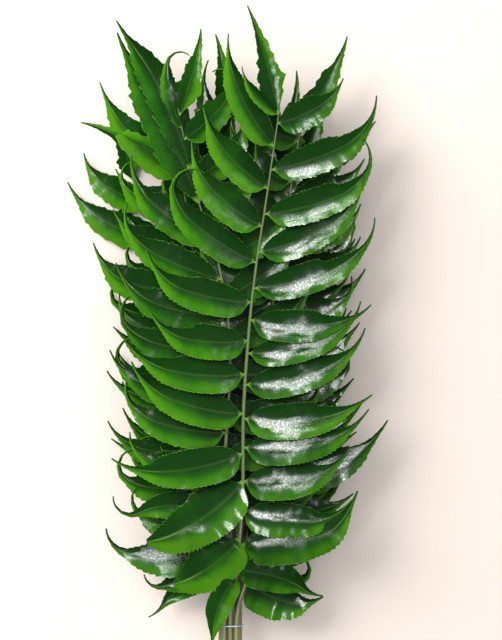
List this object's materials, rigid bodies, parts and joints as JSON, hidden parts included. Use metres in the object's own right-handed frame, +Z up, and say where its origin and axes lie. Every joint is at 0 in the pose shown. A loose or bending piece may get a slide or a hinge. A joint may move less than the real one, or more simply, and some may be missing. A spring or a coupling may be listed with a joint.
{
  "type": "tied bunch of holly fern fronds",
  "caption": "Bunch of glossy holly fern fronds laid flat in layers, with sickle-shaped waved leaflets along each rib and bare stems held together by a thin cord.",
  "frame": {"origin": "under the middle of the bounding box, on the surface that the bunch lies on", "axes": "+Y towards the tips of the fronds, +X to the right seen from above, +Z up, towards the upper side of the front frond"},
  "size_m": [0.2848, 0.5842, 0.0648],
  "materials": {
    "frond": "glossy, wet-looking leaf with an olive green rib and khaki stem",
    "tie": "smooth pale blue"
  },
  "bodies": {
    "root": {"frond_1": "frond", "frond_2": "frond", "frond_3": "frond", "frond_4": "frond", "frond_5": "frond", "frond_6": "frond", "frond_7": "frond", "frond_8": "frond", "frond_9": "frond", "tie": "tie"}
  },
  "joints": []
}
